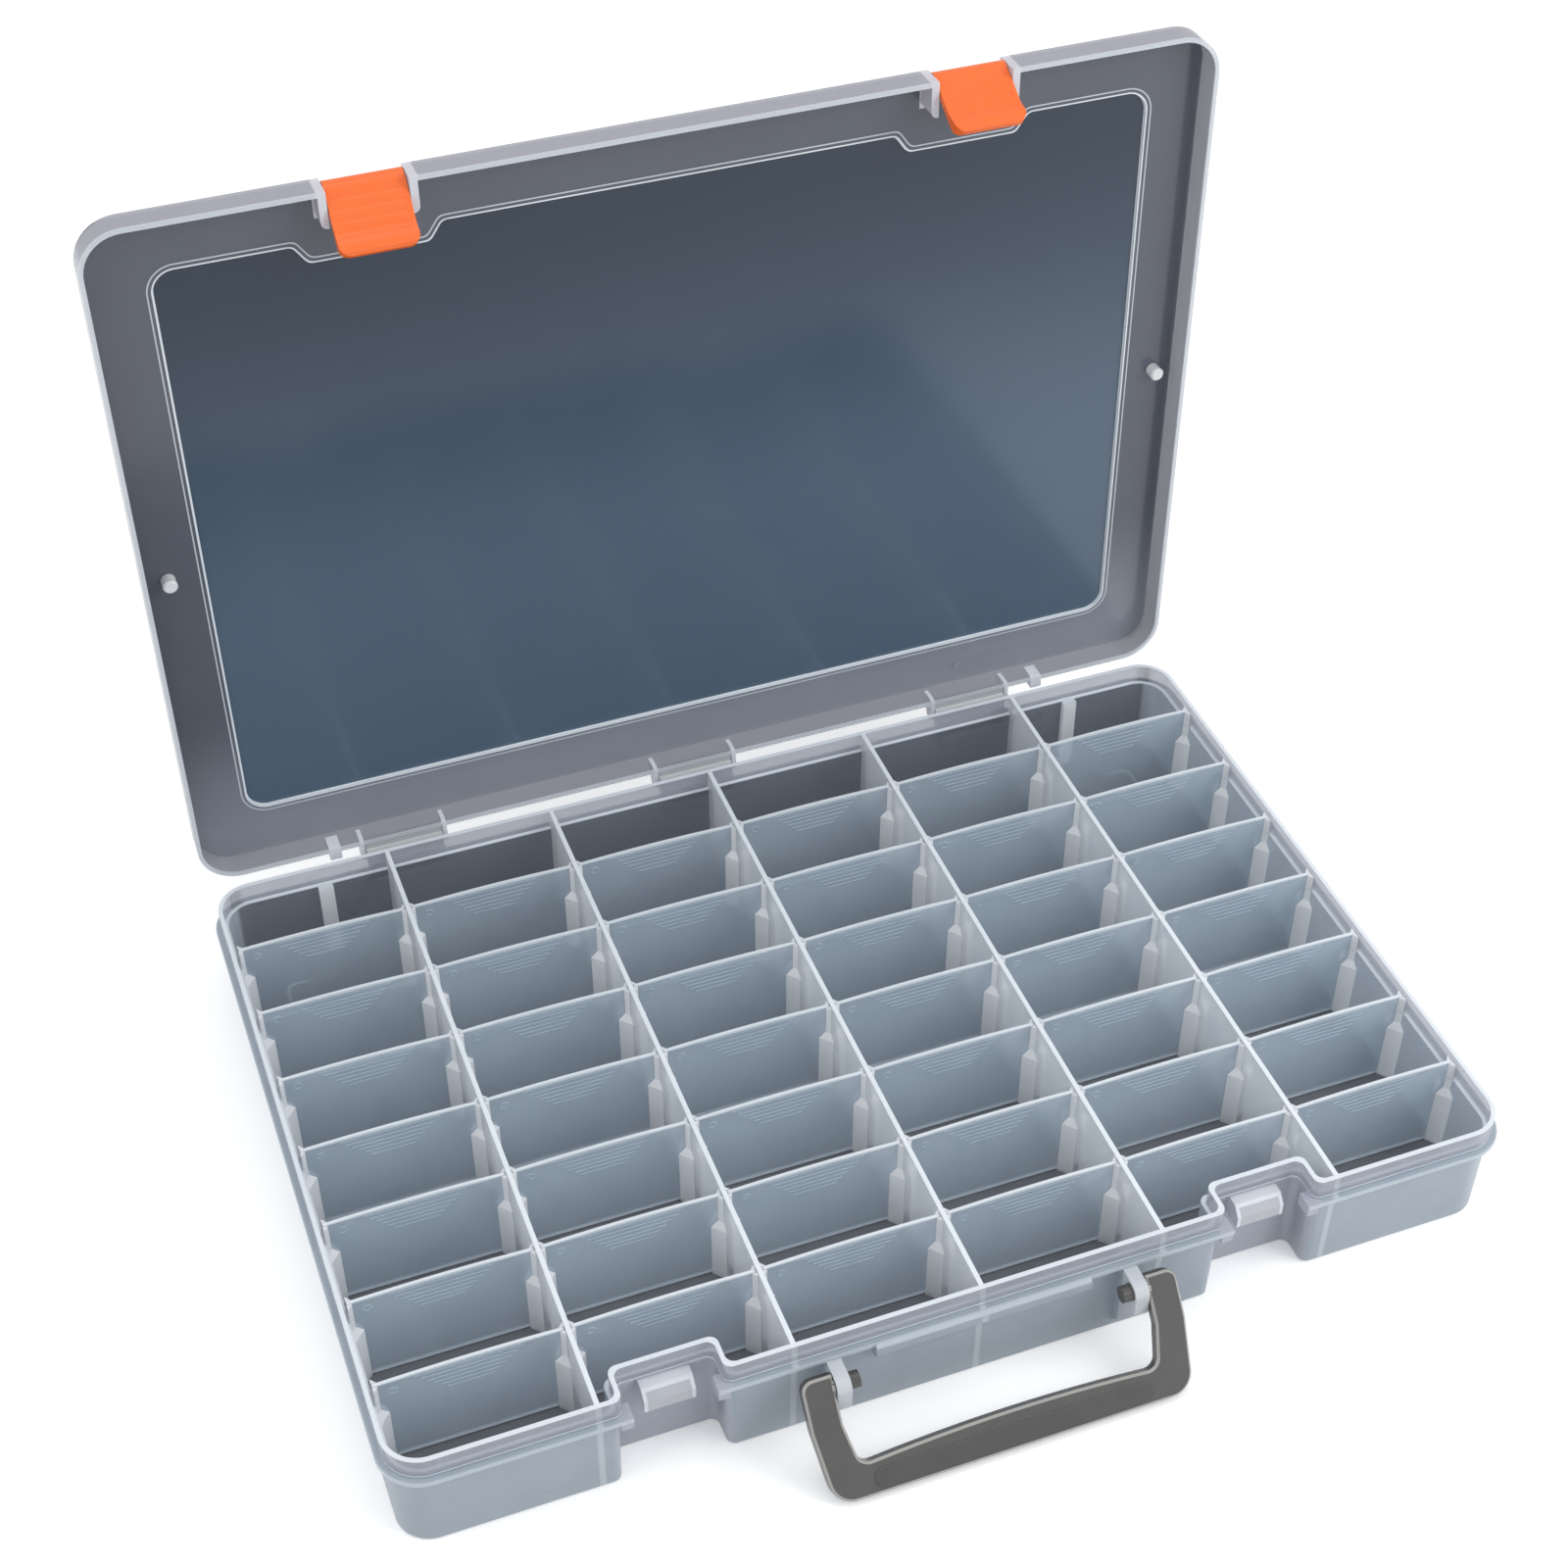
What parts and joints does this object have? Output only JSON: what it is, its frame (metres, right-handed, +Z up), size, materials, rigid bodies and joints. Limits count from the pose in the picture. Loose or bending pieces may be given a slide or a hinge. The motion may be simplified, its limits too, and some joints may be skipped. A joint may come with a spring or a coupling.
{
  "type": "hinged parts organizer box",
  "caption": "Shallow clear plastic organizer box with a grid of compartments, lift-out dividers, a hinged window lid, snap latches and a swinging carry handle.",
  "frame": {"origin": "centre of the tray's underside, on the plane that the box stands on", "axes": "+X along the front from left to right, +Y from the front edge with the handle to the hinge side, +Z up"},
  "size_m": [0.3818, 0.312, 0.3046],
  "materials": {
    "tray_plastic": "natural translucent polypropylene, satin moulded",
    "divider_plastic": "natural translucent polypropylene, satin moulded",
    "lid_plastic": "clear polypropylene window with a satin border",
    "latch_plastic": "orange injection-moulded polypropylene",
    "handle_plastic": "grey injection-moulded polypropylene"
  },
  "bodies": {
    "tray": {"tray": "tray_plastic", "long_wall_1": "tray_plastic", "long_wall_2": "tray_plastic", "long_wall_3": "tray_plastic", "long_wall_4": "tray_plastic", "long_wall_5": "tray_plastic"},
    "lid": {"lid": "lid_plastic"},
    "latch_left": {"latch_left": "latch_plastic"},
    "latch_right": {"latch_right": "latch_plastic"},
    "handle": {"handle": "handle_plastic"},
    "divider_1_1": {"divider_1_1": "divider_plastic"},
    "divider_1_2": {"divider_1_2": "divider_plastic"},
    "divider_1_3": {"divider_1_3": "divider_plastic"},
    "divider_1_4": {"divider_1_4": "divider_plastic"},
    "divider_1_5": {"divider_1_5": "divider_plastic"},
    "divider_1_6": {"divider_1_6": "divider_plastic"},
    "divider_1_7": {"divider_1_7": "divider_plastic"},
    "divider_2_1": {"divider_2_1": "divider_plastic"},
    "divider_2_2": {"divider_2_2": "divider_plastic"},
    "divider_2_3": {"divider_2_3": "divider_plastic"},
    "divider_2_4": {"divider_2_4": "divider_plastic"},
    "divider_2_5": {"divider_2_5": "divider_plastic"},
    "divider_2_6": {"divider_2_6": "divider_plastic"},
    "divider_2_7": {"divider_2_7": "divider_plastic"},
    "divider_3_1": {"divider_3_1": "divider_plastic"},
    "divider_3_2": {"divider_3_2": "divider_plastic"},
    "divider_3_3": {"divider_3_3": "divider_plastic"},
    "divider_3_4": {"divider_3_4": "divider_plastic"},
    "divider_3_5": {"divider_3_5": "divider_plastic"},
    "divider_3_6": {"divider_3_6": "divider_plastic"},
    "divider_3_7": {"divider_3_7": "divider_plastic"},
    "divider_4_1": {"divider_4_1": "divider_plastic"},
    "divider_4_2": {"divider_4_2": "divider_plastic"},
    "divider_4_3": {"divider_4_3": "divider_plastic"},
    "divider_4_4": {"divider_4_4": "divider_plastic"},
    "divider_4_5": {"divider_4_5": "divider_plastic"},
    "divider_4_6": {"divider_4_6": "divider_plastic"},
    "divider_4_7": {"divider_4_7": "divider_plastic"},
    "divider_5_1": {"divider_5_1": "divider_plastic"},
    "divider_5_2": {"divider_5_2": "divider_plastic"},
    "divider_5_3": {"divider_5_3": "divider_plastic"},
    "divider_5_4": {"divider_5_4": "divider_plastic"},
    "divider_5_5": {"divider_5_5": "divider_plastic"},
    "divider_5_6": {"divider_5_6": "divider_plastic"},
    "divider_5_7": {"divider_5_7": "divider_plastic"},
    "divider_6_1": {"divider_6_1": "divider_plastic"},
    "divider_6_2": {"divider_6_2": "divider_plastic"},
    "divider_6_3": {"divider_6_3": "divider_plastic"},
    "divider_6_4": {"divider_6_4": "divider_plastic"},
    "divider_6_5": {"divider_6_5": "divider_plastic"},
    "divider_6_6": {"divider_6_6": "divider_plastic"},
    "divider_6_7": {"divider_6_7": "divider_plastic"}
  },
  "joints": [
    {"name": "lid_hinge", "type": "hinge", "parent": "tray", "child": "lid", "pos_m": [0, 0.1364, 0.0375], "axis": [1, 0, 0], "range_deg": [0, 91]},
    {"name": "latch_left_pivot", "type": "hinge", "parent": "lid", "child": "latch_left", "pos_m": [-0.101, 0.14559, 0.30048], "axis": [1, 0, 0], "range_deg": [-47, 0]},
    {"name": "latch_right_pivot", "type": "hinge", "parent": "lid", "child": "latch_right", "pos_m": [0.101, 0.14559, 0.30048], "axis": [1, 0, 0], "range_deg": [-31, 0]},
    {"name": "handle_pivot", "type": "hinge", "parent": "tray", "child": "handle", "pos_m": [0, -0.137, 0.0295], "axis": [-1, 0, 0], "range_deg": [-33, 140]},
    {"name": "divider_1_1_lift", "type": "slide", "parent": "tray", "child": "divider_1_1", "axis": [0, 0, -1], "range_m": [-0.045, 0]},
    {"name": "divider_1_2_lift", "type": "slide", "parent": "tray", "child": "divider_1_2", "axis": [0, 0, -1], "range_m": [-0.045, 0]},
    {"name": "divider_1_3_lift", "type": "slide", "parent": "tray", "child": "divider_1_3", "axis": [0, 0, -1], "range_m": [-0.045, 0]},
    {"name": "divider_1_4_lift", "type": "slide", "parent": "tray", "child": "divider_1_4", "axis": [0, 0, -1], "range_m": [-0.045, 0]},
    {"name": "divider_1_5_lift", "type": "slide", "parent": "tray", "child": "divider_1_5", "axis": [0, 0, -1], "range_m": [-0.045, 0]},
    {"name": "divider_1_6_lift", "type": "slide", "parent": "tray", "child": "divider_1_6", "axis": [0, 0, -1], "range_m": [-0.045, 0]},
    {"name": "divider_1_7_lift", "type": "slide", "parent": "tray", "child": "divider_1_7", "axis": [0, 0, -1], "range_m": [-0.045, 0]},
    {"name": "divider_2_1_lift", "type": "slide", "parent": "tray", "child": "divider_2_1", "axis": [0, 0, -1], "range_m": [-0.045, 0]},
    {"name": "divider_2_2_lift", "type": "slide", "parent": "tray", "child": "divider_2_2", "axis": [0, 0, -1], "range_m": [-0.045, 0]},
    {"name": "divider_2_3_lift", "type": "slide", "parent": "tray", "child": "divider_2_3", "axis": [0, 0, -1], "range_m": [-0.045, 0]},
    {"name": "divider_2_4_lift", "type": "slide", "parent": "tray", "child": "divider_2_4", "axis": [0, 0, -1], "range_m": [-0.045, 0]},
    {"name": "divider_2_5_lift", "type": "slide", "parent": "tray", "child": "divider_2_5", "axis": [0, 0, -1], "range_m": [-0.045, 0]},
    {"name": "divider_2_6_lift", "type": "slide", "parent": "tray", "child": "divider_2_6", "axis": [0, 0, -1], "range_m": [-0.045, 0]},
    {"name": "divider_2_7_lift", "type": "slide", "parent": "tray", "child": "divider_2_7", "axis": [0, 0, -1], "range_m": [-0.045, 0]},
    {"name": "divider_3_1_lift", "type": "slide", "parent": "tray", "child": "divider_3_1", "axis": [0, 0, -1], "range_m": [-0.045, 0]},
    {"name": "divider_3_2_lift", "type": "slide", "parent": "tray", "child": "divider_3_2", "axis": [0, 0, -1], "range_m": [-0.045, 0]},
    {"name": "divider_3_3_lift", "type": "slide", "parent": "tray", "child": "divider_3_3", "axis": [0, 0, -1], "range_m": [-0.045, 0]},
    {"name": "divider_3_4_lift", "type": "slide", "parent": "tray", "child": "divider_3_4", "axis": [0, 0, -1], "range_m": [-0.045, 0]},
    {"name": "divider_3_5_lift", "type": "slide", "parent": "tray", "child": "divider_3_5", "axis": [0, 0, -1], "range_m": [-0.045, 0]},
    {"name": "divider_3_6_lift", "type": "slide", "parent": "tray", "child": "divider_3_6", "axis": [0, 0, -1], "range_m": [-0.045, 0]},
    {"name": "divider_3_7_lift", "type": "slide", "parent": "tray", "child": "divider_3_7", "axis": [0, 0, -1], "range_m": [-0.045, 0]},
    {"name": "divider_4_1_lift", "type": "slide", "parent": "tray", "child": "divider_4_1", "axis": [0, 0, -1], "range_m": [-0.045, 0]},
    {"name": "divider_4_2_lift", "type": "slide", "parent": "tray", "child": "divider_4_2", "axis": [0, 0, -1], "range_m": [-0.045, 0]},
    {"name": "divider_4_3_lift", "type": "slide", "parent": "tray", "child": "divider_4_3", "axis": [0, 0, -1], "range_m": [-0.045, 0]},
    {"name": "divider_4_4_lift", "type": "slide", "parent": "tray", "child": "divider_4_4", "axis": [0, 0, -1], "range_m": [-0.045, 0]},
    {"name": "divider_4_5_lift", "type": "slide", "parent": "tray", "child": "divider_4_5", "axis": [0, 0, -1], "range_m": [-0.045, 0]},
    {"name": "divider_4_6_lift", "type": "slide", "parent": "tray", "child": "divider_4_6", "axis": [0, 0, -1], "range_m": [-0.045, 0]},
    {"name": "divider_4_7_lift", "type": "slide", "parent": "tray", "child": "divider_4_7", "axis": [0, 0, -1], "range_m": [-0.045, 0]},
    {"name": "divider_5_1_lift", "type": "slide", "parent": "tray", "child": "divider_5_1", "axis": [0, 0, -1], "range_m": [-0.045, 0]},
    {"name": "divider_5_2_lift", "type": "slide", "parent": "tray", "child": "divider_5_2", "axis": [0, 0, -1], "range_m": [-0.045, 0]},
    {"name": "divider_5_3_lift", "type": "slide", "parent": "tray", "child": "divider_5_3", "axis": [0, 0, -1], "range_m": [-0.045, 0]},
    {"name": "divider_5_4_lift", "type": "slide", "parent": "tray", "child": "divider_5_4", "axis": [0, 0, -1], "range_m": [-0.045, 0]},
    {"name": "divider_5_5_lift", "type": "slide", "parent": "tray", "child": "divider_5_5", "axis": [0, 0, -1], "range_m": [-0.045, 0]},
    {"name": "divider_5_6_lift", "type": "slide", "parent": "tray", "child": "divider_5_6", "axis": [0, 0, -1], "range_m": [-0.045, 0]},
    {"name": "divider_5_7_lift", "type": "slide", "parent": "tray", "child": "divider_5_7", "axis": [0, 0, -1], "range_m": [-0.045, 0]},
    {"name": "divider_6_1_lift", "type": "slide", "parent": "tray", "child": "divider_6_1", "axis": [0, 0, -1], "range_m": [-0.045, 0]},
    {"name": "divider_6_2_lift", "type": "slide", "parent": "tray", "child": "divider_6_2", "axis": [0, 0, -1], "range_m": [-0.045, 0]},
    {"name": "divider_6_3_lift", "type": "slide", "parent": "tray", "child": "divider_6_3", "axis": [0, 0, -1], "range_m": [-0.045, 0]},
    {"name": "divider_6_4_lift", "type": "slide", "parent": "tray", "child": "divider_6_4", "axis": [0, 0, -1], "range_m": [-0.045, 0]},
    {"name": "divider_6_5_lift", "type": "slide", "parent": "tray", "child": "divider_6_5", "axis": [0, 0, -1], "range_m": [-0.045, 0]},
    {"name": "divider_6_6_lift", "type": "slide", "parent": "tray", "child": "divider_6_6", "axis": [0, 0, -1], "range_m": [-0.045, 0]},
    {"name": "divider_6_7_lift", "type": "slide", "parent": "tray", "child": "divider_6_7", "axis": [0, 0, -1], "range_m": [-0.045, 0]}
  ],
  "couplings": [
    {"joint": "latch_left_pivot", "follows": "lid_hinge", "ratio": -0.51648},
    {"joint": "latch_right_pivot", "follows": "lid_hinge", "ratio": -0.34066}
  ]
}
